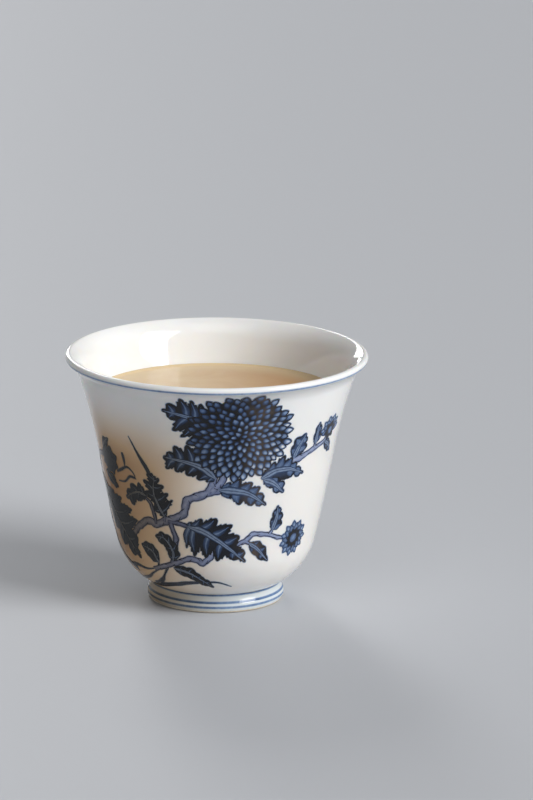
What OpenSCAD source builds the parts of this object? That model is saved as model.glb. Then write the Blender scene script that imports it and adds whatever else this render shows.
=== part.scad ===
// Bell-shaped porcelain teacup with a flared lip and a turned foot ring, holding tea.
// Every solid is a profile turned about Z. Z = 0 is the plane that the foot ring stands on.
//
// A profile is a list of stations [radius, height, slope]. The slope is the angle in degrees
// between the wall and the vertical as the profile is followed downwards: 0 is a plumb wall,
// a positive slope runs inwards and a negative slope runs outwards.

/* [Cup] */
// Diameter across the widest part of the lip
rim_d = 75; // [68:0.5:82]
// Height from the standing plane to the top of the lip
cup_h = 62.5; // [60:0.5:66]
// Thickness of the rolled lip
lip_t = 1.9; // [1.4:0.1:2.4]
// Thickness of the wall at half height
wall_t = 1.6; // [1.3:0.1:2.2]
// Thickness of the wall where the belly meets the foot
belly_t = 2.6; // [2:0.1:3.4]

/* [Wall curve] */
// Slope of the underside of the lip, where the flare begins
lip_slope = 60; // [50:1:64]
// Height where the flare under the lip ends
flare_h = 57.4; // [56.5:0.1:58]
// Slope where the flare ends
neck_slope = 18.5; // [16:0.5:21]
// Height where the hollow curve of the upper wall turns full
waist_h = 36.8; // [33:0.2:40]
// Slope at that height
waist_slope = 10; // [8:0.5:12]
// Height where the belly begins
belly_h = 15.6; // [14:0.1:17]
// Slope where the belly begins
flank_slope = 13; // [12.5:0.1:15]
// Slope where the belly meets the foot
belly_slope = 61; // [57:1:63]

/* [Foot] */
// Height of the foot ring
foot_h = 4.75; // [4.65:0.05:5]
// Radius of the foot ring at its top
foot_neck_r = 16.3; // [15.8:0.1:16.5]
// Radius of the hollow curve at the top of the foot ring
foot_cove_r = 4.5; // [4.3:0.1:4.7]
// Radius of the full curve round the foot ring
foot_bulge_r = 2.4; // [2.2:0.1:2.5]
// Radius of the recess inside the foot ring
recess_r = 13.6; // [12.5:0.1:14]
// Height of the ceiling of the recess above the standing plane
recess_h = 2.1; // [1.9:0.1:2.3]

/* [Glaze and painting] */
// Thickness of the clear glaze
glaze_t = 0.2; // [0.15:0.01:0.25]
// Thickness of the cobalt painting under the glaze
paint_t = 0.08; // [0.05:0.01:0.1]

/* [Tea] */
// Height of the tea surface above the standing plane
tea_h = 52; // [30:0.5:54]

/* [Hidden] */
// circles are turned true; this only sets how finely they are drawn
$fn = 180;

porcelain = "#f2efe9";
bare_clay = "#e6ddcf";
clear_glaze = "#f7f6f3";
cobalt = "#5d74a6";
tea_amber = "#c99a5b";

lip_r = lip_t / 2;
lip_centre = [rim_d / 2 - lip_r, cup_h - lip_r];

// slopes between which the painted rim line lies on the roll of the lip
rim_line_from = 4;
rim_line_to = 36;
// slopes between which the painted lines lie on the foot ring
junction_line_to = -7;
upper_line_from = -23;
foot_cove_slope = -28;
upper_line_to = -24.5;
lower_line_from = -6;
lower_line_to = 6;
foot_glaze_slope = 24;
foot_edge_slope = 34;

// One arc of a profile is [radius, slope at its lower end, number of steps]. The painted lines
// and the end of the glaze begin and end where an arc does.
lip_arcs = [[lip_r, rim_line_from, 6], [lip_r, rim_line_to, 3], [lip_r, lip_slope, 2]];
wall_top_h = lip_centre[1] - lip_r * sin(lip_slope);
wall_arcs = [[arc_radius(wall_top_h - flare_h, lip_slope, neck_slope), neck_slope, 6],
             [arc_radius(flare_h - waist_h, neck_slope, waist_slope), waist_slope, 7],
             [arc_radius(waist_h - belly_h, waist_slope, flank_slope), flank_slope, 5],
             [arc_radius(belly_h - foot_h, flank_slope, belly_slope), belly_slope, 10]];
foot_arcs = [[foot_cove_r, junction_line_to, 2], [foot_cove_r, upper_line_from, 3],
             [foot_cove_r, foot_cove_slope, 1], [foot_bulge_r, upper_line_to, 1],
             [foot_bulge_r, lower_line_from, 3], [foot_bulge_r, lower_line_to, 2],
             [foot_bulge_r, foot_glaze_slope, 3], [foot_bulge_r, foot_edge_slope, 2]];

// Functions that follow a profile

// radius of the arc that falls by a drop while its slope changes
function arc_radius(drop, from, to) = drop / abs(sin(to) - sin(from));

// station reached by turning from station p to a new slope on an arc of radius rho
function turn(p, rho, slope) =
    let (side = slope > p[2] ? 1 : -1)
    [p[0] - side * rho * (cos(p[2]) - cos(slope)),
     p[1] - side * rho * (sin(slope) - sin(p[2])), slope];

// stations along one arc, without the one it starts from
function arc_stations(p, arc) =
    [for (k = [1:arc[2]]) turn(p, arc[0], p[2] + (arc[1] - p[2]) * k / arc[2])];

// stations along a run of arcs, which join without a corner
function follow(p, arcs, i = 0) =
    i == len(arcs) ? [p]
    : let (run = arc_stations(p, arcs[i]))
      concat([p], part(run, 0, len(run) - 2), follow(run[len(run) - 1], arcs, i + 1));

function part(list, first, last) = [for (k = [first:1:last]) list[k]];
function reversed(list) = [for (k = [len(list) - 1:-1:0]) list[k]];
function steps(arcs, count) = count == 0 ? 0 : arcs[count - 1][2] + steps(arcs, count - 1);

// points at a depth under a profile, measured square to it
function under(stations, depth) =
    [for (p = stations) [p[0] - depth * cos(p[2]), p[1] + depth * sin(p[2])]];

// The profiles themselves

lip_top = [lip_centre[0], cup_h, -90];
lip = follow(lip_top, lip_arcs);
wall = follow(lip[len(lip) - 1], wall_arcs);
outside = concat(lip, part(wall, 1, len(wall) - 1));

// wall thickness at a height: full at the lip, thin at half height and full at the belly
function depth_down(height) = (wall[0][1] - height) / (wall[0][1] - foot_h);
function thickness(height) =
    wall_t + (lip_t - wall_t) * pow(1 - depth_down(height), 4)
    + (belly_t - wall_t) * pow(depth_down(height), 3);

// inner half of the rolled lip, with slopes that face into the cup
lip_inner_steps = 3;
lip_inner = [for (k = [1:lip_inner_steps - 1])
    let (slope = -90 - (90 - lip_slope) * k / lip_inner_steps)
    [lip_centre[0] + lip_r * cos(slope), lip_centre[1] - lip_r * sin(slope), slope]];

inner_wall = [for (p = wall)
    let (t = thickness(p[1])) [p[0] - t * cos(p[2]), p[1] + t * sin(p[2]), p[2]]];
floor_corner_r = 10;
floor_slope = 75;
floor_corner = turn(inner_wall[len(inner_wall) - 1], floor_corner_r, floor_slope);
floor_curve_r = floor_corner[0] / cos(floor_slope);
inside = concat(part(inner_wall, 0, len(inner_wall) - 2),
    follow(inner_wall[len(inner_wall) - 1],
        [[floor_corner_r, floor_slope, 3], [floor_curve_r, 90, 6]]));

foot = follow([foot_neck_r, foot_h, 0], foot_arcs);
glazed_arcs = 7;
glazed_foot = part(foot, 0, steps(foot_arcs, glazed_arcs));
bare_foot = part(foot, steps(foot_arcs, glazed_arcs), len(foot) - 1);

// the standing edge, from inside to outside, and the bevel between it and the recess
standing_inset = 0.8;
standing_outset = 0.1;
bevel = [0.4, 0.2];
standing_r = [recess_r + standing_inset, foot_neck_r - standing_outset];
recess_edge = [recess_r + bevel[0], bevel[1]];

// the recess: a plumb wall, a quarter-round cove and a flat ceiling
recess_cove_r = 1;
recess_glaze_from = 0.6;
clay_recess_r = recess_r + glaze_t;
clay_recess_h = recess_h + glaze_t;
cove_step = 18;
function cove(r) = [for (t = [0:cove_step:90])
    [recess_r - recess_cove_r + r * cos(t), recess_h - recess_cove_r + r * sin(t)]];

// Shapes shared by the parts

module turned() { rotate_extrude() children(); }

// a skin between two depths under a profile
module skin(stations, outer_depth, inner_depth) {
    polygon(concat(under(stations, outer_depth), reversed(under(stations, inner_depth))));
}

// a painted band, and the pocket that the glaze leaves for it, cut on past the glaze's back
pocket_past = 0.1;
module band(stations) { skin(stations, glaze_t - paint_t, glaze_t); }
module pocket(stations) { skin(stations, glaze_t - paint_t, glaze_t + pocket_past); }

// the stretch of profile under each line, by the arcs it begins and ends after
rim_band = part(lip, steps(lip_arcs, 1), steps(lip_arcs, 2));
junction_band = part(foot, 0, steps(foot_arcs, 1));
upper_band = part(foot, steps(foot_arcs, 2), steps(foot_arcs, 4));
lower_band = part(foot, steps(foot_arcs, 5), steps(foot_arcs, 6));

// Clay

// the thrown bowl, with the plug of clay that closes the top of the foot ring
module bowl_body() {
    color(porcelain) turned() polygon(concat(
        under(outside, glaze_t),
        [[foot_neck_r - glaze_t, foot_h], [clay_recess_r, foot_h]],
        cove(recess_cove_r + glaze_t),
        [[0, clay_recess_h]],
        reversed(under(inside, -glaze_t)),
        reversed(under(lip_inner, glaze_t))));
}

// the turned foot ring, bare where it stands
module foot_ring() {
    color(bare_clay) turned() polygon(concat(
        under(glazed_foot, glaze_t),
        under(bare_foot, 0),
        [[standing_r[1], 0], [standing_r[0], 0], recess_edge, [recess_r, recess_glaze_from],
         [clay_recess_r, recess_glaze_from], [clay_recess_r, foot_h]]));
}

// Glaze

// clear glaze from the top of the lip down the outside to the foot ring
module outer_glaze() {
    color(clear_glaze) turned() difference() {
        polygon(concat(under(outside, 0), [[foot_neck_r - glaze_t, foot_h]],
            reversed(under(outside, glaze_t))));
        pocket(rim_band);
    }
}

// clear glaze from the top of the lip down the inside and across the floor
module inner_glaze() {
    color(clear_glaze) turned() polygon(concat(
        [[lip_top[0], lip_top[1]]], under(lip_inner, 0), under(inside, 0),
        reversed(under(inside, -glaze_t)), reversed(under(lip_inner, glaze_t)),
        [[lip_top[0], lip_top[1] - glaze_t]]));
}

// clear glaze round the foot ring, ending above the bare standing edge
module foot_glaze() {
    color(clear_glaze) turned() difference() {
        skin(glazed_foot, 0, glaze_t);
        pocket(junction_band);
        pocket(upper_band);
        pocket(lower_band);
    }
}

// clear glaze in the recess under the cup
module base_glaze() {
    color(clear_glaze) turned() polygon(concat(
        [[recess_r, recess_glaze_from]], cove(recess_cove_r), [[0, recess_h]],
        [[0, clay_recess_h]], reversed(cove(recess_cove_r + glaze_t)),
        [[clay_recess_r, recess_glaze_from]]));
}

// Cobalt lines, painted on the clay under the glaze

module rim_line() { color(cobalt) turned() band(rim_band); }
module junction_line() { color(cobalt) turned() band(junction_band); }
module foot_line_upper() { color(cobalt) turned() band(upper_band); }
module foot_line_lower() { color(cobalt) turned() band(lower_band); }

// Tea, which fills the inside up to its surface
module tea() {
    color(tea_amber, 0.8) turned() intersection() {
        polygon(concat(under(inside, 0), [[0, cup_h]]));
        square([rim_d, tea_h]);
    }
}

bowl_body();
foot_ring();
outer_glaze();
inner_glaze();
foot_glaze();
base_glaze();
rim_line();
junction_line();
foot_line_upper();
foot_line_lower();
tea();
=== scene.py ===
"""Looks of the porcelain teacup: glazed clay, cobalt painting and tea, built round the CAD frame.

Lengths in this script are millimetres unless a name says otherwise, and MM turns them into metres.
The painting is drawn on a flat sheet that wraps round the wall. A sheet point is (x, y): x runs
round the cup from the front, towards +X, in millimetres at SHEET_R from the axis, and y runs up
the wall from the foot, along its surface.
"""
import math
import random

import bpy
import numpy as np
from mathutils import Matrix, Vector, noise


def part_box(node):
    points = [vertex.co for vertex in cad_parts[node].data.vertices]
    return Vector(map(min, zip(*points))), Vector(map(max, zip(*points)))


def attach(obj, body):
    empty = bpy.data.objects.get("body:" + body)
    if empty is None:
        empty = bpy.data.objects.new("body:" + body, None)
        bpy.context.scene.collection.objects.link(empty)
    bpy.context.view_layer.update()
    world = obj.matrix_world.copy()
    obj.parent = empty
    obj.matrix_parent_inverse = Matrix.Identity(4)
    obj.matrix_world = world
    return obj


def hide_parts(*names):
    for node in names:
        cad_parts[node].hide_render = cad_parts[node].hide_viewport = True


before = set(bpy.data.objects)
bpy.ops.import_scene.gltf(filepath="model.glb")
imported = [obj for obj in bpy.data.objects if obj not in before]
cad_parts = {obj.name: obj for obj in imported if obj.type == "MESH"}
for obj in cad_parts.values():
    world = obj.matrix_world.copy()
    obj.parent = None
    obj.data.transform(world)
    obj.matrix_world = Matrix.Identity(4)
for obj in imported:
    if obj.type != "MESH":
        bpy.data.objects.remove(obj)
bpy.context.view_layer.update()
MM = 0.001

# --------------------------------------------------------------------------------------
# Sizes of the cup: places come from the frame, slopes and heights repeat the CAD's
# --------------------------------------------------------------------------------------
RIM_R = round(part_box("outer_glaze")[1].x / MM, 1)
CUP_H = round(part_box("outer_glaze")[1].z / MM, 2)
FOOT_H = round(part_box("foot_ring")[1].z / MM, 2)
TEA_H = round(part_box("tea")[1].z / MM, 2)
LIP_R = 0.95
LIP_T, WALL_T, BELLY_T = 1.9, 1.6, 2.6
LIP_SLOPE, NECK_SLOPE, WAIST_SLOPE, FLANK_SLOPE, BELLY_SLOPE = 60, 18.5, 10, 13, 61
FLARE_H, WAIST_H, BELLY_H = 57.4, 36.8, 15.6
FLOOR_CORNER_R, FLOOR_SLOPE = 10, 75
FOOT_NECK_R, FOOT_COVE_R, FOOT_COVE_SLOPE, FOOT_BULGE_R = 16.3, 4.5, -28, 2.4
FOOT_EDGE_SLOPE = 34
RECESS_R, RECESS_H, RECESS_COVE_R, RECESS_GLAZE_FROM = 13.6, 2.1, 1.0, 0.6
STANDING_R = (14.4, 16.2)
TEA_CLIMB = 0.45         # how far the tea climbs the wall
TEA_CLIMB_SPAN = 1.4     # how far from the wall its climb begins
HIDDEN = 0.05            # how far a face that another piece covers stays clear of it
TURNS = 320              # segments round the cup
SHEET_R = 28.0           # radius at which the painting sheet has its true width


# --------------------------------------------------------------------------------------
# Profiles: stations (radius, height, slope), the slope in degrees from the vertical
# --------------------------------------------------------------------------------------
def turn(station, radius, slope):
    """The station reached by following an arc until the wall has a new slope."""
    r, z, old = station
    a, b = math.radians(old), math.radians(slope)
    side = 1 if slope > old else -1
    return (r - side * radius * (math.cos(a) - math.cos(b)),
            z - side * radius * (math.sin(b) - math.sin(a)), slope)


def follow(station, radius, slope, steps):
    """Stations along one arc, without the one it starts from."""
    old = station[2]
    return [turn(station, radius, old + (slope - old) * k / steps) for k in range(1, steps + 1)]


def fall(station, height, slope, steps):
    """Stations of the arc that reaches a height with a new slope."""
    a, b = math.radians(station[2]), math.radians(slope)
    radius = (station[1] - height) / abs(math.sin(b) - math.sin(a))
    return follow(station, radius, slope, steps)


def outside_profile():
    """The outer surface from the top of the lip down to the foot ring."""
    top = (RIM_R - LIP_R, CUP_H, -90)
    lip = [top] + follow(top, LIP_R, LIP_SLOPE, 20)
    wall = list(lip)
    for height, slope, steps in ((FLARE_H, NECK_SLOPE, 18), (WAIST_H, WAIST_SLOPE, 30),
                                 (BELLY_H, FLANK_SLOPE, 30), (FOOT_H, BELLY_SLOPE, 40)):
        wall += fall(wall[-1], height, slope, steps)
    return wall, len(lip) - 1


def wall_thickness(height, top):
    """Full at the lip, thin at half height and full where the belly meets the foot."""
    down = (top - height) / (top - FOOT_H)
    return WALL_T + (LIP_T - WALL_T) * (1 - down) ** 4 + (BELLY_T - WALL_T) * down ** 3


def inside_profile(outside, lip_count):
    """The inner surface from the flare down to the middle of the floor."""
    wall = outside[lip_count:]
    inner = []
    for r, z, slope in wall:
        t, a = wall_thickness(z, wall[0][1]), math.radians(slope)
        inner.append((r - t * math.cos(a), z + t * math.sin(a), slope))
    inner += follow(inner[-1], FLOOR_CORNER_R, FLOOR_SLOPE, 8)
    floor_r = inner[-1][0] / math.cos(math.radians(FLOOR_SLOPE))
    return inner + follow(inner[-1], floor_r, 90, 14)


OUTSIDE, LIP_COUNT = outside_profile()
INSIDE = inside_profile(OUTSIDE, LIP_COUNT)
LIP_INNER = [(RIM_R - LIP_R + LIP_R * math.cos(math.radians(a)),
              CUP_H - LIP_R - LIP_R * math.sin(math.radians(a)))
             for a in np.linspace(-90, LIP_SLOPE - 180, 10)[1:-1]]


# --------------------------------------------------------------------------------------
# Meshes
# --------------------------------------------------------------------------------------
def new_mesh(name, points, faces):
    """A mesh object from points in millimetres."""
    mesh = bpy.data.meshes.new(name)
    mesh.from_pydata([tuple(MM * c for c in p) for p in points], [], faces)
    mesh.update()
    obj = bpy.data.objects.new(name, mesh)
    bpy.context.scene.collection.objects.link(obj)
    return obj


def lathe(name, profile, closed):
    """Turns (radius, height) pairs about the axis, where a pair on the axis becomes one point.
    closed joins the last pair to the first."""
    points, rings = [], []
    for r, z in profile:
        if r < 1e-6:
            rings.append([len(points)] * TURNS)
            points.append((0, 0, z))
            continue
        rings.append(list(range(len(points), len(points) + TURNS)))
        for k in range(TURNS):
            a = math.tau * k / TURNS
            points.append((r * math.cos(a), r * math.sin(a), z))
    pairs = list(zip(rings, rings[1:] + rings[:1]))
    faces = []
    for low, high in pairs if closed else pairs[:-1]:
        for k in range(TURNS):
            j = (k + 1) % TURNS
            face = list(dict.fromkeys((low[k], low[j], high[j], high[k])))
            if len(face) > 2:
                faces.append(face)
    obj = new_mesh(name, points, faces)
    obj.data.shade_smooth()
    return obj


def keep(piece, material, slot, *nodes):
    """Finishes a piece: its material, its CAD body and the CAD nodes it stands for. The slot argument is
    not used.
    """
    piece.data.materials.append(material)
    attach(piece, "root")
    if nodes:
        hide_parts(*nodes)
    return piece


# --------------------------------------------------------------------------------------
# The painting sheet
# --------------------------------------------------------------------------------------
# The wall's stations from the foot up to the flare, and the distance up the wall to each
WALL_UP = np.array(OUTSIDE[LIP_COUNT:][::-1])
RUN_UP = np.concatenate([[0], np.cumsum(np.hypot(*np.diff(WALL_UP[:, :2], axis=0).T))])


def at(azimuth, up):
    """The sheet point at an azimuth in degrees from the front and a distance up the wall."""
    return np.array([math.radians(azimuth) * SHEET_R, up])


def on_wall(sheet, lift):
    """Cup points and normals for sheet points, lifted off the wall by millimetres."""
    sheet = np.asarray(sheet, float)
    angle = sheet[:, 0] / SHEET_R
    r, z, slope = (np.interp(sheet[:, 1], RUN_UP, WALL_UP[:, k]) for k in range(3))
    slope = np.radians(slope)
    out, down = np.cos(slope), np.sin(slope)
    r, z = r + lift * out, z - lift * down
    points = np.stack([r * np.sin(angle), -r * np.cos(angle), z], 1)
    normals = np.stack([out * np.sin(angle), -out * np.cos(angle), -down], 1)
    return points, normals


# Seeds the hand's waver, which otherwise starts from the clock and differs on each run. Any whole
# number but 0 does, and another one wavers another way.
HAND_SEED = 1794893185
noise.seed_set(HAND_SEED)


def wavering(sheet):
    """Moves sheet points a little, the same way wherever they overlap, as a hand does."""
    moved = []
    for x, y in sheet:
        slow = noise.noise_vector(Vector((x * 0.35, y * 0.35, 3.0)))
        quick = noise.noise_vector(Vector((x * 1.7, y * 1.7, 9.0)))
        moved.append((x + 0.16 * slow.x + 0.06 * quick.x, y + 0.16 * slow.y + 0.06 * quick.y))
    return np.array(moved)


def linear(srgb):
    """Linear values of an sRGB colour."""
    return [c / 12.92 if c <= 0.04045 else ((c + 0.055) / 1.055) ** 2.4 for c in srgb]


# What each tone of a pigment lets the clay show, in sRGB: 0 is bare clay and 1 a heavy pool
COBALT = ((0.0, (1.0, 1.0, 1.0)), (0.2, (0.68, 0.77, 0.90)), (0.4, (0.46, 0.58, 0.76)),
          (0.6, (0.25, 0.36, 0.54)), (0.8, (0.08, 0.13, 0.22)), (1.0, (0.02, 0.03, 0.05)))
TWIG_BLUE = ((0.0, (1.0, 1.0, 1.0)), (0.2, (0.72, 0.78, 0.93)), (0.4, (0.54, 0.61, 0.80)),
             (0.6, (0.34, 0.39, 0.56)), (0.8, (0.13, 0.15, 0.25)), (1.0, (0.03, 0.035, 0.06)))
# A painted reflection: heavy paint lifted to brown-grey in a vertical band right of the front.
REFLECTION_BROWN = (0.42, 0.36, 0.31)
REFLECTION_AT, REFLECTION_SPREAD = 19.5, 6.5     # the azimuth of the brown band and its half width, in degrees

# Heights of the paint's layers off the wall, so that no two coincide
HALO, TWIG_EDGE, TWIG, LEAF = 0.008, 0.02, 0.045, 0.075
VEIN, RIB, GROUND, PETAL = 0.09, 0.112, 0.124, 0.13
STROKE_RISE = 0.0015    # from one stroke to the next of its kind
PETAL_RISE = 0.09       # from the outermost petal to the innermost
STEP = 0.45             # spacing of the points along a line of paint
BLEED = 0.25            # how far cobalt runs out into the glaze round a shape
TOOTH_SPAN, TOOTH_RISE = 1.4, 1.3    # the teeth along a lobe's edge


def pigment(table, tones):
    """Linear colours for tones."""
    steps = [s for s, _ in table]
    colours = np.array([linear(c) for _, c in table])
    tones = np.clip(tones, 0, 1)
    return np.stack([np.interp(tones, steps, colours[:, k]) for k in range(3)], 1)


def painted_reflection(sheet, tones):
    """How far the heavy paint is lifted to brown by a painted reflection, in a band right of the front."""
    across = (np.degrees(sheet[:, 0] / SHEET_R) - REFLECTION_AT) / REFLECTION_SPREAD
    patchy = np.array([noise.noise(Vector((x * 0.5, y * 0.5, 1.0))) for x, y in sheet])
    return np.exp(-across ** 2) * np.clip((tones - 0.45) / 0.4, 0, 1) * np.clip(0.75 + patchy, 0, 1)


class Painting:
    """Painted shapes that become one mesh on the wall."""

    def __init__(self, table=COBALT):
        self.points, self.tones, self.lifts, self.faces = [], [], [], []
        self.table = table

    def grid(self, rows, tones, lift, closed=False):
        """Adds rows of sheet points with their tones. closed joins each row's ends."""
        start, across = len(self.points), len(rows[0])
        for row, shades in zip(rows, tones):
            self.points += [tuple(p) for p in row]
            self.tones += list(shades)
            self.lifts += [lift] * across
        for i in range(len(rows) - 1):
            for j in range(across if closed else across - 1):
                k = (j + 1) % across
                a, b = start + i * across, start + (i + 1) * across
                self.faces.append((a + j, a + k, b + k, b + j))

    def disc(self, centre, rings, tones, lift):
        """Adds closed rings of sheet points round a centre, from the inside out."""
        start, across = len(self.points), len(rings[0])
        self.points.append(tuple(centre))
        self.tones.append(tones[0])
        self.lifts.append(lift)
        self.grid(rings, [[tone] * across for tone in tones[1:]], lift, closed=True)
        self.faces += [(start, start + 1 + j, start + 1 + (j + 1) % across) for j in range(across)]

    def bleed(self, outline, tone=0.45):
        """Adds the soft edge that cobalt has in a glaze, round a closed outline."""
        line = np.array(outline)
        ahead = np.roll(line, -1, 0) - np.roll(line, 1, 0)
        out = np.stack([ahead[:, 1], -ahead[:, 0]], 1) / (np.hypot(*ahead.T)[:, None] + 1e-9)
        if np.cross(line, np.roll(line, -1, 0)).sum() < 0:
            out = -out
        rows = [line - 0.1 * out, line + 0.3 * BLEED * out, line + BLEED * out]
        across = len(line)
        self.grid(rows, [[tone] * across, [tone * 0.45] * across, [0.0] * across], HALO, closed=True)

    def make(self, name):
        """Wraps the sheet round the wall as one piece, with normals that follow the wall."""
        sheet = wavering(self.points)
        points, normals = on_wall(sheet, np.array(self.lifts))
        obj = new_mesh(name, points, facing_out(self.faces, sheet))
        obj.data.shade_smooth()
        obj.data.normals_split_custom_set_from_vertices([tuple(n) for n in normals])
        tones = np.array(self.tones)
        # Painted reflection: heavy paint turned brown in a band right of the front.
        brown = 0.8 * painted_reflection(sheet, tones)[:, None]
        colours = np.ones((len(tones), 4), np.float32)
        colours[:, :3] = pigment(self.table, tones) * (1 - brown) + np.array(linear(REFLECTION_BROWN)) * brown
        paint = obj.data.color_attributes.new("paint", "FLOAT_COLOR", "POINT")
        paint.data.foreach_set("color", colours.ravel())
        return keep(obj, PAINT, "cobalt")


def facing_out(faces, sheet):
    """The faces, each turned so that it runs anticlockwise on the sheet, and so faces out."""
    turned = []
    for face in faces:
        corners = sheet[list(face)]
        area = np.cross(corners, np.roll(corners, -1, 0)).sum()
        turned.append(face if area > 0 else face[::-1])
    return turned


def on_sheet(places):
    """Sheet points for (azimuth, up) places."""
    return np.array([at(*place) for place in places])


def curve_through(points, spacing=STEP):
    """Evenly spaced sheet points on a smooth curve through the given ones."""
    p = np.array(points, float)
    p = np.vstack([2 * p[0] - p[1], p, 2 * p[-1] - p[-2]])
    out = []
    for k in range(1, len(p) - 2):
        a, b, c, d = p[k - 1:k + 3]
        for t in np.linspace(0, 1, 16, endpoint=False):
            out.append(0.5 * (2 * b + (c - a) * t + (2 * a - 5 * b + 4 * c - d) * t * t
                              + (3 * b - a - 3 * c + d) * t ** 3))
    out = np.array(out + [p[-2]])
    run = distances(out)
    even = np.linspace(0, run[-1], max(4, int(run[-1] / spacing) + 2))
    return np.stack([np.interp(even, run, out[:, k]) for k in range(2)], 1)


def crooked(bends):
    """A line between a smooth curve and straight stretches, as a woody stem grows."""
    smooth = curve_through(bends)
    run = distances(bends)
    even = np.linspace(0, run[-1], len(smooth))
    straight = np.stack([np.interp(even, run, bends[:, k]) for k in range(2)], 1)
    return 0.45 * smooth + 0.55 * straight


def distances(line):
    """Distance along a line at each of its points."""
    return np.concatenate([[0], np.cumsum(np.hypot(*np.diff(line, axis=0).T))])


def sideways(line):
    """Unit vectors to the left of each point of a line."""
    ahead = np.gradient(line, axis=0)
    ahead /= np.hypot(*ahead.T)[:, None] + 1e-12
    return np.stack([-ahead[:, 1], ahead[:, 0]], 1)


def ribbon(paint, line, half, tones, lift, end_tones=None):
    """A painted band along a line: its half width at each point, and its tones across."""
    left, across = sideways(line), np.linspace(-1, 1, len(tones))
    rows = [[p + side * h * u for u in across] for p, side, h in zip(line, left, half)]
    first, last = np.array(tones), np.array(end_tones or tones)
    paint.grid(rows, [first + (last - first) * t for t in np.linspace(0, 1, len(rows))], lift)
    return [row[0] for row in rows] + [row[-1] for row in rows[::-1]]


# --------------------------------------------------------------------------------------
# Brushwork: each function paints one kind of thing at (azimuth, up) places
# --------------------------------------------------------------------------------------
def twig(paint, places, width, end_width, tone, above):
    """A woody stem: a dark outline under a lavender-blue fill, thicker at its bends, with nicks
    in the bark. above lifts it over the stems painted before it."""
    bends = on_sheet(places)
    line = crooked(bends)
    run = distances(line)
    half = 0.5 * (width + (end_width - width) * run / run[-1])
    half *= 1 + 0.12 * np.sin(2.3 * run) * np.sin(0.9 * run + 1)
    for knot in distances(bends)[1:-1] * run[-1] / distances(bends)[-1]:
        half *= 1 + 0.2 * np.exp(-((run - knot) / 0.8) ** 2)
    paint.bleed(ribbon(paint, line, half + 0.14, [0.92] * 5, TWIG_EDGE + above), 0.5)
    bark = [tone + 0.2, tone + 0.04, tone - 0.06, tone - 0.02, tone + 0.14]
    ribbon(paint, line, half - 0.06, bark, TWIG + above)
    left = sideways(line)
    for k in range(5, len(line) - 3, 6):
        side = 1 if (k // 6) % 2 else -1
        start = line[k] + left[k] * side * half[k]
        end = line[k + 2] + left[k + 2] * side * half[k + 2] * 0.1
        nick = curve_through([start, (start + end) / 2 + 0.05, end], 0.3)
        ribbon(paint, nick, np.linspace(0.13, 0.03, len(nick)), [0.85] * 3, TWIG + above + 0.012)


def blade(paint, places, width, above):
    """A grass blade or a thin stem: one brush stroke that thins to a point. above lifts it over
    the strokes painted before it."""
    line = curve_through(on_sheet(places))
    t = np.linspace(0, 1, len(line))
    half = 0.5 * width * (0.45 + 0.55 * np.sin(np.pi * np.minimum(1, t + 0.25))) * (1 - t ** 5) + 0.04
    paint.bleed(ribbon(paint, line, half, [0.92, 0.8, 0.68, 0.8, 0.92], TWIG_EDGE + above))


def leaf(paint, rib, lobes, tone, rib_width, notch):
    """A lobed leaf. rib runs from the stalk to the tip and lobes are the points of its lobes.
    notch is how deep the gaps between them go, as a share of the way to the rib."""
    middle = curve_through(on_sheet(rib), 0.2)
    sides = sorted_lobes(middle, on_sheet(lobes))
    edges = [leaf_half(paint, middle, lobe, tone, side, notch) for lobe, side in zip(sides, (1, -1))]
    paint.bleed(edges[0] + edges[1][::-1][1:-1])
    for k, (root, end) in enumerate(sides[0] + sides[1]):
        start = point_on(middle, root)
        reach = end - start
        bow = reach[::-1] * (0.06, -0.06)
        vein = curve_through([start, start + reach * 0.4 + bow, start + reach * 0.82], 0.3)
        wedge = 0.2 + 0.8 * np.sin(np.linspace(0.35, math.pi, len(vein)))
        pale = tone - 0.52
        ribbon(paint, vein, 0.56 * rib_width * wedge, [tone, pale + 0.12, pale, pale + 0.12, tone],
               VEIN + STROKE_RISE * k, [tone, tone - 0.1, tone - 0.2, tone - 0.1, tone])
        fine = np.linspace(1, 0.2, len(vein))
        ribbon(paint, vein, 0.2 * rib_width * fine, [0.45, 0.28, 0.45], RIB - 0.003, [0.62, 0.42, 0.62])
    t = np.linspace(0, 1, len(middle))
    swell = np.minimum(1, 0.25 + 5 * t) * (1 - t ** 1.5)
    ribbon(paint, middle, 0.7 * rib_width * swell, [tone, 0.58, 0.5, 0.58, tone], RIB)
    ribbon(paint, middle, 0.44 * rib_width * swell, [0.5, 0.25, 0.28, 0.66, 0.28, 0.25, 0.5], RIB + 0.004)


def point_on(line, share):
    """The point at a share of the way along an evenly spaced line."""
    return line[int(min(1, max(0, share)) * (len(line) - 1))]


def sorted_lobes(middle, lobes):
    """The lobes left and right of a leaf's rib, as (share along the rib of its vein's root, tip)."""
    left, length = sideways(middle), distances(middle)[-1]
    sides = ([], [])
    for lobe in lobes:
        near = int(np.argmin(np.hypot(*(middle - lobe).T)))
        away = lobe - middle[near]
        root = near / (len(middle) - 1) - 0.5 * np.hypot(*away) / length
        sides[0 if away.dot(left[near]) > 0 else 1].append((min(0.9, max(0.03, root)), lobe))
    return [sorted(side, key=lambda lobe: lobe[0]) for side in sides]


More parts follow.
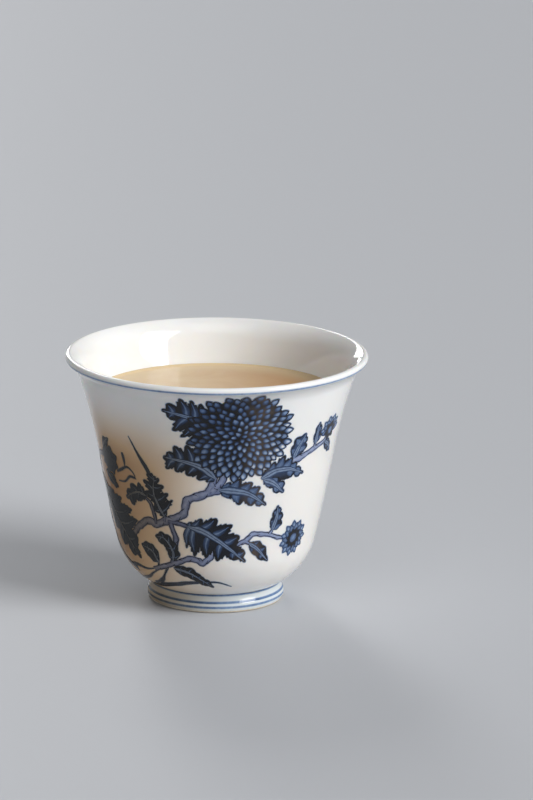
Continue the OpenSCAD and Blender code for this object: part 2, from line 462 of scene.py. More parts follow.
def leaf_half(paint, middle, lobes, tone, side, notch):
    """One side of a leaf: rows from the rib out to an edge of pointed, toothed lobes."""
    gaps = [(0.0, middle[0])]
    for (root, tip), (next_root, next_tip) in zip(lobes, lobes[1:]):
        share = root + 0.4 * (next_root - root)
        gaps.append((share, between_lobes(tip, next_tip, point_on(middle, share), notch)))
    if lobes:
        share = 0.5 + 0.5 * lobes[-1][0]
        gaps.append((share, between_lobes(lobes[-1][1], middle[-1], point_on(middle, share), notch)))
    edge, roots = [], []
    for (r0, a), (r1, b), (_, tip) in zip(gaps, gaps[1:], lobes):
        edge += toothed(a, tip, side, notch, True) + toothed(tip, b, side, notch, False)
        roots += list(np.linspace(r0, r1, len(edge) - len(roots), endpoint=False))
    edge += toothed(gaps[-1][1], middle[-1], side, notch, True)
    roots += list(np.linspace(gaps[-1][0], 1, len(edge) - len(roots), endpoint=False))
    edge.append(middle[-1])
    roots.append(1.0)
    rows, shades = [], []
    across = np.linspace(0, 1, 11)
    for point, root in zip(edge, roots):
        place = point_on(middle, root)
        rows.append([place + (point - place) * u for u in across])
        shades.append(tone + (0.99 - tone) * across ** 3)
    paint.grid(rows, shades, LEAF)
    return edge


def between_lobes(tip, next_tip, rib_point, notch):
    """The bottom of the gap between two lobes."""
    return (tip + next_tip) / 2 * (1 - notch) + rib_point * notch


def toothed(start, end, side, notch, rising):
    """Points from start towards end on a bowed line, with teeth that lean to one of its ends.
    The deeper a leaf's notches, the larger its teeth. The line is straightest on a leaf that has
    either hardly any notches or deep ones."""
    length = np.hypot(*(end - start))
    teeth, count = max(1, round(length / TOOTH_SPAN)), max(3, int(length / 0.25))
    ahead = (end - start) / (length + 1e-9)
    out = np.array([-ahead[1], ahead[0]]) * side
    bow = min(3 * notch, 0.9 - 1.5 * notch) * (1 if rising else 0.6)
    points = []
    for k in range(count):
        f = k / count
        run = (f if rising else 1 - f) * teeth
        tooth = TOOTH_RISE * notch * (run % 1 - 0.3) * math.sin(math.pi * f)
        points.append(start + ahead * length * f + out * (bow * length * f * (1 - f) + tooth))
    return points


def petal(paint, centre, direction, length, width, light, lift, edge=1.0):
    """A scale-like petal pointing along direction: pale in the middle and dark all round."""
    turn_by = np.linspace(0, math.tau, 16, endpoint=False)
    along = 0.5 * length * np.cos(turn_by)
    aside = 0.5 * width * np.sin(turn_by) * np.abs(np.sin(turn_by / 2)) ** 0.5 * 1.15
    ahead = np.array([math.cos(direction), math.sin(direction)])
    left = np.array([-ahead[1], ahead[0]])
    rings = []
    for q in (0.25, 0.46, 0.66, 0.84, 1.0):
        middle = centre + ahead * length * 0.19 * (1 - q)
        rings.append([middle + ahead * a * q + left * b * q for a, b in zip(along, aside)])
    tones = [light - 0.04, light, 0.7 * light + 0.3 * edge, 0.36 * light + 0.64 * edge, edge, edge]
    paint.disc(centre + ahead * length * 0.19, rings, tones, lift)
    return rings[-1]


def bloom(paint, place, reach, count):
    """The great chrysanthemum: petals set by the golden angle, inner ones over outer ones."""
    rng = random.Random(5)
    centre = at(*place)
    turn_by = np.linspace(0, math.tau, 90, endpoint=False)
    rings = [[centre + q * reach * np.array([math.cos(a), math.sin(a)]) for a in turn_by]
             for q in np.linspace(0.06, 0.93, 22)]
    paint.disc(centre, rings, [0.98] * 23, GROUND)
    golden = math.pi * (3 - math.sqrt(5))
    for k in range(count):
        out = ((k + 0.6) / count) ** 0.56
        direction = k * golden + rng.uniform(-0.05, 0.05)
        ahead = np.array([math.cos(direction), math.sin(direction)])
        spot = centre + ahead * out * reach
        size = 0.75 + 0.5 * out + rng.uniform(-0.1, 0.1)
        # Painted light and shade: petals paler towards the lower right and darker towards the upper left.
        painted_light_low_right = 0.5 * (ahead[0] - 0.6 * ahead[1]) * out
        light = 0.34 - 0.38 * painted_light_low_right + rng.uniform(-0.12, 0.16)
        outline = petal(paint, spot, direction + rng.uniform(-0.15, 0.15), 2.35 * size, 1.75 * size,
                        light, PETAL + PETAL_RISE * (1 - out))
        if out > 0.86:
            paint.bleed(outline)


def daisy(paint, place, reach, count, spread=math.tau, facing=0.0, tone=0.3):
    """A small open flower, or part of one: two rings of blue petals round a dark-ringed eye."""
    centre = at(*place)
    for ring, out in enumerate((0.64, 0.5)):
        for k in range(count):
            direction = facing + spread * ((k + 0.5 + 0.5 * ring) / count - 0.5)
            ahead = np.array([math.cos(direction), math.sin(direction)])
            outline = petal(paint, centre + ahead * reach * out, direction, reach * 0.8,
                            reach * 3.4 / count * spread / math.tau * 1.5, tone + 0.1 * ring,
                            LEAF + 0.004 * (k % 2) + 0.009 * ring, max(0.66, tone + 0.2))
            if ring == 0:
                paint.bleed(outline)
    turn_by = np.linspace(0, math.tau, 36, endpoint=False)
    rings = [[centre + q * reach * (1 + 0.16 * math.sin(count * a) * (q > 0.4)) *
              np.array([math.cos(a), math.sin(a)]) for a in turn_by]
             for q in (0.1, 0.2, 0.27, 0.34, 0.45, 0.55)]
    paint.disc(centre, rings, [tone + 0.08, tone + 0.1, tone + 0.18, 0.8, 0.98, 0.95, 0.7], VEIN + 0.012)


# --------------------------------------------------------------------------------------
# Materials
# --------------------------------------------------------------------------------------
def new_material(name):
    """A material, its node tree and its shader."""
    material = bpy.data.materials.new(name)
    material.use_nodes = True
    tree = material.node_tree
    return material, tree, tree.nodes["Principled BSDF"]


def node(tree, kind, **settings):
    """A shader node, with its inputs and properties set by name."""
    made = tree.nodes.new(kind)
    for key, value in settings.items():
        if key in made.inputs:
            made.inputs[key].default_value = value
        else:
            setattr(made, key, value)
    return made


def noise_at(tree, scale, detail=3.0, roughness=0.5):
    """Noise in the cup's own space. scale is bumps per metre."""
    where = node(tree, "ShaderNodeTexCoord")
    made = node(tree, "ShaderNodeTexNoise", Scale=scale, Detail=detail, Roughness=roughness)
    tree.links.new(where.outputs["Object"], made.inputs["Vector"])
    return made


def ramp(tree, source, *stops):
    """A colour ramp over (position, colour) stops."""
    made = tree.nodes.new("ShaderNodeValToRGB")
    band = made.color_ramp
    while len(band.elements) < len(stops):
        band.elements.new(0.5)
    for element, (position, colour) in zip(band.elements, stops):
        element.position = position
        element.color = (*colour, 1)
    tree.links.new(source, made.inputs["Fac"])
    return made


def gloss(tree, shader, low, high, bump_mm, scale=260.0):
    """Roughness and bump of a glaze that is not quite even."""
    ripple = noise_at(tree, scale, 2.0)
    span = node(tree, "ShaderNodeMapRange")
    span.inputs["To Min"].default_value = low
    span.inputs["To Max"].default_value = high
    tree.links.new(ripple.outputs["Fac"], span.inputs["Value"])
    tree.links.new(span.outputs["Result"], shader.inputs["Roughness"])
    bump = node(tree, "ShaderNodeBump", Strength=1.0, Distance=bump_mm * MM)
    tree.links.new(ripple.outputs["Fac"], bump.inputs["Height"])
    tree.links.new(bump.outputs["Normal"], shader.inputs["Normal"])


def between(tree, source, low, high, at_low, at_high):
    """A value that goes smoothly from at_low to at_high as the source goes from low to high."""
    made = node(tree, "ShaderNodeMapRange", interpolation_type="SMOOTHSTEP")
    for key, value in (("From Min", low), ("From Max", high), ("To Min", at_low), ("To Max", at_high)):
        made.inputs[key].default_value = value
    tree.links.new(source, made.inputs["Value"])
    return made.outputs["Result"]


def times(tree, a, b):
    """The product of two values."""
    made = node(tree, "ShaderNodeMath", operation="MULTIPLY")
    tree.links.new(a, made.inputs[0])
    tree.links.new(b, made.inputs[1])
    return made.outputs["Value"]


def mix(tree, amount, first, second, kind="MIX"):
    """A mix of two colours. Each is a socket or an sRGB colour, and amount a socket or a number."""
    made = node(tree, "ShaderNodeMix", data_type="RGBA", blend_type=kind)
    for socket, value in ((made.inputs[0], amount), (made.inputs[6], first), (made.inputs[7], second)):
        if isinstance(value, bpy.types.NodeSocket):
            tree.links.new(value, socket)
        elif socket.type == "RGBA":
            socket.default_value = (*linear(value), 1)
        else:
            socket.default_value = value
    return made.outputs[2]


def clay_colour(tree):
    """White clay, faintly blue at the foot where the glaze pools, with painted light and shade below the
    tea line:
    an amber glow of light through the tea that also darkens the outer wall, most on the left and front."""
    body = noise_at(tree, 55.0, 4.0)
    clay = ramp(tree, body.outputs["Fac"], (0.3, linear((0.928, 0.929, 0.925))),
                (0.7, linear((0.946, 0.948, 0.945)))).outputs["Color"]
    where = node(tree, "ShaderNodeTexCoord")
    parts = node(tree, "ShaderNodeSeparateXYZ")
    tree.links.new(where.outputs["Object"], parts.inputs["Vector"])
    pooled = between(tree, parts.outputs["Z"], (FOOT_H - 0.6) * MM, (FOOT_H + 1.4) * MM, 0.6, 0.0)
    clay = mix(tree, pooled, clay, (0.78, 0.84, 0.87))
    # Painted light and shade: an amber glow of light through the tea, darkening the outer wall below the
    # tea line, most on the left and front.
    below_tea = between(tree, parts.outputs["Z"], (TEA_H - 15) * MM, (TEA_H + 5) * MM, 1.0, 0.0)
    leftward = between(tree, parts.outputs["X"], -29 * MM, 6 * MM, 1.0, 0.06)
    frontward = between(tree, parts.outputs["Y"], -12 * MM, 17 * MM, 1.0, 0.06)
    outside = node(tree, "ShaderNodeVectorMath", operation="DOT_PRODUCT")
    facing = node(tree, "ShaderNodeNewGeometry")
    tree.links.new(facing.outputs["Normal"], outside.inputs[0])
    tree.links.new(where.outputs["Object"], outside.inputs[1])
    outer = between(tree, outside.outputs["Value"], 0.0, 2 * MM, 0.0, 1.0)
    painted_glow_and_shade = times(tree, times(tree, below_tea, leftward), times(tree, frontward, outer))
    tint = ramp(tree, painted_glow_and_shade, (0.0, (1, 1, 1)), (0.35, linear((0.96, 0.89, 0.81))),
                (0.7, linear((0.87, 0.72, 0.55))), (1.0, linear((0.69, 0.49, 0.27)))).outputs["Color"]
    return mix(tree, 1.0, clay, tint, "MULTIPLY")


def under_glaze(tree, shader, colour):
    """Sets a shader to clay of a colour, slightly translucent, under the clear glaze."""
    tree.links.new(colour, shader.inputs["Base Color"])
    shader.inputs["Subsurface Weight"].default_value = 0.3
    shader.inputs["Subsurface Radius"].default_value = (1.0, 0.75, 0.5)
    shader.inputs["Subsurface Scale"].default_value = 0.0015
    shader.inputs["IOR"].default_value = 1.48
    gloss(tree, shader, 0.045, 0.085, 0.006)


def glazed_porcelain():
    """White porcelain under a clear glaze."""
    material, tree, shader = new_material("glazed_porcelain")
    under_glaze(tree, shader, clay_colour(tree))
    return material


def painted_cobalt():
    """Cobalt on the clay under the same glaze, with the grain of the pigment in it."""
    material, tree, shader = new_material("cobalt_underglaze")
    brushed = node(tree, "ShaderNodeVertexColor", layer_name="paint").outputs["Color"]
    grain = noise_at(tree, 900.0, 4.0, 0.6)
    speckle = ramp(tree, grain.outputs["Fac"], (0.3, (0.6, 0.62, 0.68)),
                   (0.7, (1, 1, 1))).outputs["Color"]
    dense = node(tree, "ShaderNodeRGBToBW")
    tree.links.new(brushed, dense.inputs["Color"])
    amount = between(tree, dense.outputs["Val"], 0.5, 0.9, 1.0, 0.0)
    grained = mix(tree, amount, brushed, mix(tree, 1.0, brushed, speckle, "MULTIPLY"))
    under_glaze(tree, shader, mix(tree, 1.0, clay_colour(tree), grained, "MULTIPLY"))
    return material


def bare_porcelain():
    """Unglazed clay of the standing edge, faintly toasted and grainy."""
    material, tree, shader = new_material("bare_porcelain")
    fine = noise_at(tree, 1600.0, 6.0, 0.7)
    tint = ramp(tree, fine.outputs["Fac"], (0.3, linear((0.80, 0.74, 0.65))),
                (0.7, linear((0.90, 0.86, 0.79))))
    tree.links.new(tint.outputs["Color"], shader.inputs["Base Color"])
    shader.inputs["Roughness"].default_value = 0.7
    bump = node(tree, "ShaderNodeBump", Strength=0.6, Distance=0.03 * MM)
    tree.links.new(fine.outputs["Fac"], bump.inputs["Height"])
    tree.links.new(bump.outputs["Normal"], shader.inputs["Normal"])
    return material


def tea_liquid():
    """Amber tea with faint swirls, paler where it is shallow at the wall, and darker to the right as
    painted shade.
    """
    material, tree, shader = new_material("tea")
    where = node(tree, "ShaderNodeTexCoord")
    flat = node(tree, "ShaderNodeVectorMath", operation="MULTIPLY")
    flat.inputs[1].default_value = (1, 1, 0)
    tree.links.new(where.outputs["Object"], flat.inputs[0])
    reach = node(tree, "ShaderNodeVectorMath", operation="LENGTH")
    tree.links.new(flat.outputs["Vector"], reach.inputs[0])
    shallow = between(tree, reach.outputs["Value"], 22 * MM, 32 * MM, 0.0, 1.0)
    swirl = node(tree, "ShaderNodeTexNoise", Scale=90.0, Detail=3.0, Distortion=1.6)
    tree.links.new(where.outputs["Object"], swirl.inputs["Vector"])
    brew = mix(tree, swirl.outputs["Fac"], (0.88, 0.75, 0.57), (0.945, 0.84, 0.675))
    parts = node(tree, "ShaderNodeSeparateXYZ")
    tree.links.new(where.outputs["Object"], parts.inputs["Vector"])
    # Painted shade: the tea darker towards the right.
    painted_shade_right = between(tree, parts.outputs["X"], -16 * MM, 30 * MM, 0.0, 0.75)
    brew = mix(tree, painted_shade_right, brew, (0.78, 0.52, 0.22))
    tree.links.new(mix(tree, shallow, brew, (0.92, 0.82, 0.65)), shader.inputs["Base Color"])
    shader.inputs["IOR"].default_value = 1.33
    shader.inputs["Alpha"].default_value = 0.8
    gloss(tree, shader, 0.02, 0.05, 0.02, 90.0)
    return material


PORCELAIN = glazed_porcelain()
PAINT = painted_cobalt()
BARE = bare_porcelain()
TEA = tea_liquid()


# --------------------------------------------------------------------------------------
# Clay, lines and tea
# --------------------------------------------------------------------------------------
def bowl():
    """The glazed bowl, closed by a flat face that the foot ring covers."""
    outer = [(r, z) for r, z, _ in OUTSIDE]
    under = [(r, FOOT_H - HIDDEN) for r in (FOOT_NECK_R - 0.3, RECESS_R + 0.6, 0)]
    inner = [(r, z) for r, z, _ in INSIDE]
    inner[-1] = (0, inner[-1][1])
    profile = outer + under + inner[::-1] + LIP_INNER[::-1]
    return keep(lathe("glazed_bowl", profile, True), PORCELAIN, "clear_glaze",
                "bowl_body", "outer_glaze", "inner_glaze")


def foot_profile():
    """The outside of the foot ring: a cove under the bowl, then a bulge down to the table."""
    top = (FOOT_NECK_R, FOOT_H, 0)
    stations = [top] + follow(top, FOOT_COVE_R, FOOT_COVE_SLOPE, 16)
    stations += follow(stations[-1], FOOT_BULGE_R, FOOT_EDGE_SLOPE, 30)
    return stations


FOOT = foot_profile()


def foot():
    """The glazed foot ring with its recess, bare on the standing edge."""
    outer = [(r, z) for r, z, _ in FOOT]
    edge = [(STANDING_R[1], 0), (STANDING_R[0], 0), (RECESS_R + 0.4, 0.2), (RECESS_R, RECESS_GLAZE_FROM)]
    cove = [(RECESS_R - RECESS_COVE_R + RECESS_COVE_R * math.cos(a),
             RECESS_H - RECESS_COVE_R + RECESS_COVE_R * math.sin(a))
            for a in np.linspace(0, math.pi / 2, 9)]
    top = [(0, RECESS_H), (0, FOOT_H)]
    obj = lathe("glazed_foot_ring", outer + edge + cove + top, True)
    obj.data.materials.append(PORCELAIN)
    obj.data.materials.append(BARE)
    bare_below = RECESS_GLAZE_FROM - HIDDEN
    for face in obj.data.polygons:
        face.material_index = int(face.center.z / MM < bare_below)
    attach(obj, "root")
    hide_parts("foot_ring", "foot_glaze", "base_glaze")
    return obj


def ring_line(name, stations, tones, node_name):
    """A line drawn on the wheel: soft at its edges, with the brush's load rising and falling."""
    lift = 0.015
    lifted = [(r + lift * math.cos(math.radians(a)), z - lift * math.sin(math.radians(a)))
              for r, z, a in stations]
    obj = lathe(name, lifted, False)
    turns = [Vector((2 * math.cos(math.tau * k / TURNS), 2 * math.sin(math.tau * k / TURNS), 0))
             for k in range(TURNS)]
    load = np.array([0.3 * noise.noise(t) + 0.12 * noise.noise(6 * t) for t in turns])
    shades = np.concatenate([tone * (1 + load) for tone in tones])
    colours = np.ones((len(shades), 4), np.float32)
    colours[:, :3] = pigment(COBALT, shades)
    paint = obj.data.color_attributes.new("paint", "FLOAT_COLOR", "POINT")
    paint.data.foreach_set("color", colours.ravel())
    return keep(obj, PAINT, "cobalt", node_name)


def lines():
    """The rim line, the line where the bowl meets its foot and the two lines on the foot."""
    rim = turn((RIM_R - LIP_R, CUP_H, -90), LIP_R, 0)
    below_lip = [rim] + follow(rim, LIP_R, 44, 6)
    ring_line("painted_rim_line", below_lip, (0, 0.14, 0.24, 0.3, 0.24, 0.14, 0), "rim_line")
    neck = FOOT[0]
    junction = [OUTSIDE[-2], neck] + follow(neck, FOOT_COVE_R, -8, 5)
    ring_line("painted_junction_line", junction, (0.6, 0.8, 0.62, 0.4, 0.3, 0.16, 0), "junction_line")
    cove_end = turn(neck, FOOT_COVE_R, FOOT_COVE_SLOPE)
    upper = follow(turn(neck, FOOT_COVE_R, -20), FOOT_COVE_R, FOOT_COVE_SLOPE, 4)
    upper += follow(cove_end, FOOT_BULGE_R, -21, 3)
    ring_line("painted_foot_line_upper", upper, (0, 0.24, 0.36, 0.4, 0.42, 0.3, 0), "foot_line_upper")
    start = turn(cove_end, FOOT_BULGE_R, -9)
    lower = [start] + follow(start, FOOT_BULGE_R, 9, 6)
    ring_line("painted_foot_line_lower", lower, (0, 0.22, 0.3, 0.36, 0.3, 0.22, 0), "foot_line_lower")


def tea():
    """The tea: a level surface that climbs the wall a little, and its body below."""
    wall = [(r, z) for r, z, _ in INSIDE]
    below = [(r, z) for r, z in wall if z < TEA_H - 0.4]
    r_edge = float(np.interp(TEA_H, [z for _, z in wall[::-1]], [r for r, _ in wall[::-1]]))
    level, touch, gap = TEA_H - TEA_CLIMB, 0.03, 0.02
    climb = [(r_edge + touch - TEA_CLIMB_SPAN * t, level + TEA_CLIMB * (1 - t) ** 2)
             for t in np.linspace(0, 1, 8)]
    surface = climb + [(r, level) for r in (26, 20, 12, 5, 0)]
    body = [(max(0.0, r - gap), z + gap) for r, z in below]
    body[-1] = (0, body[-1][1])
    return keep(lathe("tea_liquid", surface[::-1] + body, False), TEA, "tea", "tea")


# --------------------------------------------------------------------------------------
# The spray, with every place as (azimuth, up)
# --------------------------------------------------------------------------------------
TWIGS = (
    # places from the root to the end, width there, width at the end, tone
    (((-52, 18.6), (-48, 20.4), (-44, 22), (-40, 23.4), (-36.5, 23.7), (-33, 23), (-27, 24.5),
      (-17, 26.6), (-14.5, 30.6), (-9, 31.9), (-3, 33.2), (3, 33.8)), 1.4, 1.75, 0.31),
    (((-4, 33), (-2, 35), (-0.5, 38)), 1.5, 1.2, 0.32),
    (((-2, 33.2), (2.5, 36), (5, 39.5)), 1.6, 1.3, 0.3),
    (((33, 39.4), (43, 40.4), (52, 42), (60, 43), (63, 45.5)), 1.6, 0.8, 0.24),
    (((52, 42), (52.5, 44)), 0.7, 0.5, 0.24),
    (((-26, 24.4), (-20, 24.2), (-14, 23.4)), 1.0, 0.9, 0.5),
    (((-24.5, 24), (-22, 20), (-24, 15), (-27, 12)), 1.1, 1.0, 0.45),
    (((9, 18.4), (16, 19.5), (20, 21.4), (25, 21), (30, 20.6), (35, 19.6), (42, 18.8)), 1.1, 0.7, 0.27),
    (((15.6, 19.5), (19, 18.6)), 0.8, 0.6, 0.3),
    (((30, 20.8), (31.5, 22)), 0.7, 0.5, 0.3),
    (((-40, 10), (-34, 11), (-24, 12.8), (-15, 14.6), (-9.5, 14.2), (-7.5, 13.4), (-3, 15.2),
      (-1, 18)), 1.1, 1.3, 0.33),
    (((-33, 23), (-33.6, 26), (-35, 28.6), (-38, 30)), 0.9, 0.6, 0.5),
    (((-28, 24.2), (-27, 26)), 0.9, 0.7, 0.45),
    (((-58, 8), (-68, 9.6), (-78, 13.6), (-84, 20), (-87, 27), (-86, 33), (-80, 37),
      (-70, 38)), 1.5, 0.9, 0.55),
    (((-84, 31.6), (-86.5, 29.5)), 0.9, 0.8, 0.55),
)
BLADES = (
    # places from the root to the tip, greatest width
    (((-32.8, 35), (-35.4, 38.2), (-40, 41.9), (-43.6, 46)), 0.85),
    (((-56, 1.8), (-35, 4.4), (-15, 6.7), (0, 7.3), (11, 5.4)), 1.7),
    (((-62, 9.4), (-54, 9.7), (-46, 9.4), (-38, 10.6)), 0.9),
    (((-72, 3), (-60, 4.4), (-50, 6.2), (-42, 8.6), (-34, 11.2)), 0.9),
    (((-56, 1.2), (-46, 2.8), (-38, 5.6), (-33, 8.6), (-27, 12.4)), 0.9),
    (((-48, 4), (-40, 5.8), (-34, 8.2), (-29, 12)), 0.7),
    (((-36.2, 10.8), (-34.6, 12.6)), 0.6),
    (((-50.2, 40.6), (-49.6, 38.4), (-49.8, 36.6)), 0.75),
    (((-57, 35), (-52, 36.2), (-48, 37), (-44.6, 36), (-43, 34.2)), 0.5),
    (((-43.4, 34.6), (-47, 34.6), (-51, 33), (-57, 32.6)), 0.45),
)
LEAVES = {
    # stalk to tip, points of the lobes, tone, rib width, depth of the notches
    "leaf_upper_left": (((-2, 50.5), (-9, 52.8), (-16, 54.3), (-23.3, 55)),
                        ((-6.3, 57.7), (-10, 58.7), (-14.8, 59.2), (-20.2, 57.2),
                         (-20.4, 53), (-19.4, 49.5), (-16, 47.9), (-11.5, 47)), 0.95, 1.7, 0.4),
    "leaf_lower_left": (((-0.5, 37), (-6, 39.6), (-14, 41), (-25.2, 42)),
                        ((-8, 45.6), (-13.5, 45.8), (-19.2, 45.3), (-22.5, 43.4),
                         (-24.4, 38.7), (-19.5, 38.1), (-14, 37.4), (-9, 36.6), (-4.5, 36)),
                        0.95, 1.8, 0.35),
    "leaf_under_bloom": (((1.5, 33.8), (9, 33.4), (17, 32.2), (25.8, 29)),
                         ((6.5, 35.9), (11.5, 36.7), (17.5, 35.6), (21.8, 34.2), (24, 31.8),
                          (6.5, 31.4), (11.3, 29.6), (17.2, 29.2), (21.8, 28.9)), 0.74, 1.9, 0.35),
    "leaf_right": (((22, 36.3), (30, 38), (38, 37.8), (46.8, 36)),
                   ((28, 40.6), (33.5, 42), (38.5, 41), (41.5, 39.4), (44, 37.9), (43, 35.3),
                    (38.5, 35.5)), 0.72, 1.8, 0.35),
    "leaf_right_lower": (((23, 36), (29, 34.6), (35.6, 31.8)),
                         ((31.5, 36), (35.5, 34.4), (26.5, 33.6), (30.6, 32)), 0.62, 1.6, 0.3),
    "leaf_middle": (((-15, 23.6), (-6, 22.2), (4, 19), (17, 13.6)),
                    ((-13.5, 24.9), (-7.5, 26), (0.5, 26.1), (8.5, 24.2), (12.8, 21), (16.3, 16.5),
                     (-16.2, 17.4), (-12, 15.3), (-5.5, 15), (0.8, 14.2), (9, 14.6)), 0.9, 1.7, 0.4),
    "leaf_dark_upright": (((-27.4, 25.4), (-30.5, 28.6), (-32.5, 32), (-31, 36.2)),
                          ((-26, 27), (-22, 30.4), (-24.4, 32), (-26.4, 33.8), (-28.8, 35.6),
                           (-33, 27), (-37.5, 31.5), (-38, 34.6), (-35.4, 36.6), (-33, 37)),
                          0.98, 0.8, 0.5),
    "leaf_dark_left": (((-36.5, 30.4), (-43, 31), (-52.2, 28.6)),
                       ((-41.5, 33.6), (-47, 32.8), (-51, 30.6), (-47, 27), (-42.5, 28.6)),
                       0.98, 0.8, 0.35),
    "leaf_bud_near": (((38.8, 40.6), (41, 43.5), (44.2, 47)),
                      ((36.6, 43.4), (38.4, 46), (46.3, 43.2), (45.6, 45.4)), 0.62, 1.3, 0.15),
    "leaf_bud_middle": (((52.3, 43.2), (52, 46), (52.6, 49)),
                        ((49.8, 45.2), (50.8, 47.8), (56, 45.4), (54.8, 47.6)), 0.74, 1.3, 0.12),
    "leaf_bud_far": (((60, 42.9), (64, 41.8), (68.3, 39.5)),
                     ((64.5, 43.2), (66.8, 41.8), (62.4, 40.6), (65.6, 39.5)), 0.72, 1.0, 0.12),
    "leaf_sprig_up": (((31.2, 21.8), (33, 25), (33, 28.4)),
                      ((29.8, 24.6), (30.8, 26.8), (37.4, 23), (37, 25.8), (35.2, 27.4)),
                      0.76, 1.4, 0.15),
    "leaf_sprig_down": (((18, 18.9), (24, 16.8), (31.2, 13.2)),
                        ((24.5, 19.2), (28.8, 17.2), (20.3, 16), (25.8, 13.9)), 0.84, 1.2, 0.08),
    "leaf_low": (((-25.5, 11.4), (-14, 10), (-1, 5.1)),
                 ((-20, 12.4), (-13.5, 11.8), (-8.5, 9.6), (-3.5, 7.6), (-20.5, 9.2), (-14, 8), (-8, 6)),
                 0.97, 0.8, 0.12),
    "leaf_curled": (((-25, 13.4), (-24.6, 16.4), (-28.5, 19.4), (-34.8, 19.8)),
                    ((-20.2, 15.4), (-22, 18.4), (-26, 20.6), (-31, 21.2),
                     (-27.6, 15), (-29, 17), (-32.4, 18.2)), 0.98, 0.8, 0.12),
    "leaf_round": (((-34.6, 12.4), (-39, 15.4), (-46.2, 16.6)),
                   ((-34.2, 15.4), (-37.6, 17.3), (-42, 17.6), (-39, 12.4), (-43.4, 14.2)),
                   0.98, 0.8, 0.05),
    "leaf_far_left": (((-84, 31.5), (-72, 25), (-60, 18.5), (-48.5, 12.4)),
                      ((-74, 29.5), (-65, 28.8), (-57.5, 27.8), (-49.5, 25.6), (-46, 23), (-48.6, 18),
                       (-80, 23.6), (-73, 18), (-65, 14.4), (-56, 12.6)), 0.98, 1.0, 0.4),
    "leaf_far_small": (((-70, 33.6), (-65, 32.6), (-58.4, 30.6)),
                       ((-67, 34.2), (-61, 33.2), (-66, 30.8), (-61, 30)), 0.98, 0.6, 0.15),
    "leaf_far_top": (((-69, 39.6), (-66, 41.4), (-60.5, 43.2)), ((-66.5, 43), (-63, 40.9)), 0.9, 0.6, 0.1),
    "leaf_side_upper": (((-87, 29), (-94, 33), (-99, 39)),
                        ((-88.5, 34), (-92, 37.6), (-95.8, 40), (-94, 29.4), (-99, 32), (-101, 36)),
                       0.95, 1.4, 0.35),
    "leaf_side_lower": (((-83.6, 19.4), (-91, 20.6), (-100, 18)),
                        ((-87.5, 23), (-93, 23.6), (-97.8, 21.4), (-88, 17.4), (-94, 16.6)),
                        0.95, 1.4, 0.3),
}


def spray():
    """The chrysanthemum spray, in layers from its stems up to the bloom."""
    stems = Painting(TWIG_BLUE)
    for k, (places, width, end_width, tone) in enumerate(TWIGS):
        twig(stems, places, width, end_width, tone, STROKE_RISE * k)
    stems.make("painted_twigs")
    grass = Painting()
    for k, (places, width) in enumerate(BLADES):
        blade(grass, places, width, STROKE_RISE * k)
    grass.make("painted_grass")
    for name, shape in LEAVES.items():
        paint = Painting()
        leaf(paint, *shape)
        paint.make("painted_" + name)
    flower = Painting()
    bloom(flower, (11, 48.3), 11.3, 160)
    flower.make("painted_chrysanthemum")
    small = Painting()
    daisy(small, (47.5, 18.3), 4.7, 11)
    small.make("painted_daisy")
    bud = Painting()
    daisy(bud, (63, 45.6), 4.0, 6, math.pi * 1.1, math.pi * 0.5)
    bud.make("painted_bud")
    far = Painting()
    daisy(far, (-63.5, 37.4), 3.9, 8, tone=0.78)
    far.make("painted_far_blossom")


# --------------------------------------------------------------------------------------
# Camera, light and floor, in metres and degrees
# --------------------------------------------------------------------------------------
CAMERA_PLACE = (0, -1.201, 0.360)
CAMERA_YAW, CAMERA_PITCH, CAMERA_ROLL = 0.59, 14.46, 0.48
LIGHTS_AIM = Vector((0, 0, 0.035))


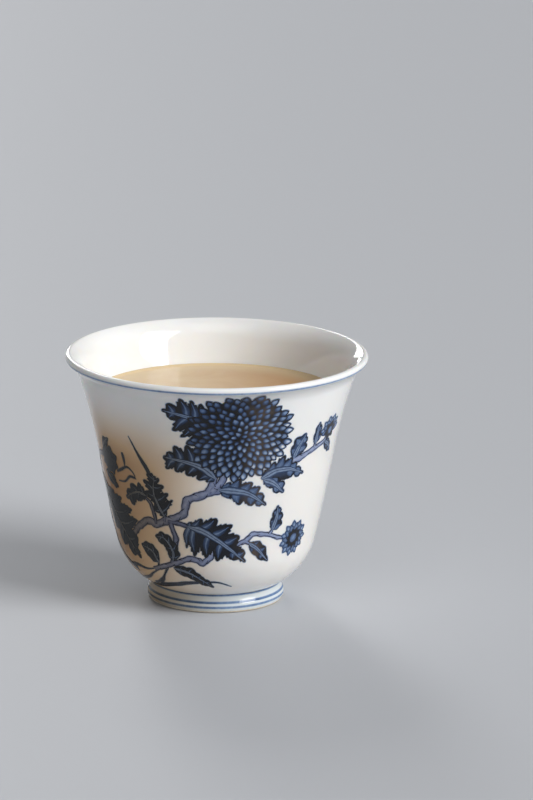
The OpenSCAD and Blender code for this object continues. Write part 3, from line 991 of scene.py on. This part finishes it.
def camera():
    """A long lens from in front and a little above, as the cup is seen."""
    data = bpy.data.cameras.new("camera")
    data.lens = 225
    data.sensor_width = 36
    data.clip_start = 0.1
    data.clip_end = 50
    obj = bpy.data.objects.new("camera", data)
    bpy.context.scene.collection.objects.link(obj)
    yaw, pitch, roll = (math.radians(a) for a in (CAMERA_YAW, CAMERA_PITCH, CAMERA_ROLL))
    ahead = Vector((math.sin(yaw) * math.cos(pitch), math.cos(yaw) * math.cos(pitch), -math.sin(pitch)))
    right = Vector((math.cos(yaw), -math.sin(yaw), 0))
    up = right.cross(ahead)
    right, up = (right * math.cos(roll) + up * math.sin(roll),
                 up * math.cos(roll) - right * math.sin(roll))
    turned = Matrix((right, up, -ahead)).transposed().to_4x4()
    obj.matrix_world = Matrix.Translation(CAMERA_PLACE) @ turned
    bpy.context.scene.camera = obj


def soft_light(name, azimuth, elevation, distance, size, power, colour=(1, 1, 1)):
    """A rectangular light aimed at the cup, placed by its direction from the cup."""
    data = bpy.data.lights.new(name, "AREA")
    data.shape = "RECTANGLE"
    data.size, data.size_y = size
    data.energy = power
    data.color = colour
    obj = bpy.data.objects.new(name, data)
    bpy.context.scene.collection.objects.link(obj)
    a, e = math.radians(azimuth), math.radians(elevation)
    away = Vector((math.sin(a) * math.cos(e), -math.cos(a) * math.cos(e), math.sin(e)))
    obj.location = LIGHTS_AIM + distance * away
    obj.rotation_euler = (-away).to_track_quat("-Z", "Y").to_euler()


def studio():
    """A plain pale floor under a pale sky that is brighter at its foot, and three soft lights."""
    half = 3000
    corners = [(-half, -half, 0), (half, -half, 0), (half, half, 0), (-half, half, 0)]
    floor = new_mesh("floor", corners, [(0, 1, 2, 3)])
    material, _, shader = new_material("floor")
    shader.inputs["Base Color"].default_value = (*linear((0.74, 0.75, 0.77)), 1)
    shader.inputs["Roughness"].default_value = 0.6
    floor.data.materials.append(material)
    bpy.context.scene.view_settings.view_transform = "Standard"
    world = bpy.data.worlds.new("world")
    bpy.context.scene.world = world
    world.use_nodes = True
    tree = world.node_tree
    parts = node(tree, "ShaderNodeSeparateXYZ")
    tree.links.new(node(tree, "ShaderNodeTexCoord").outputs["Generated"], parts.inputs["Vector"])
    sky = tree.nodes["Background"]
    sky.inputs["Color"].default_value = (0.95, 0.97, 1.0, 1)
    tree.links.new(between(tree, parts.outputs["Z"], 0.05, 0.3, 0.42, 0.165), sky.inputs["Strength"])
    soft_light("key", 60, 32, 6.0, (2.9, 4.0), 358.0, (1.0, 0.995, 0.985))
    soft_light("overhead", -5, 64, 3.0, (2.0, 2.0), 13.0)
    soft_light("strip", -166, 22, 3.0, (0.6, 2.0), 24.0)


bowl()
foot()
lines()
tea()
spray()
camera()
studio()
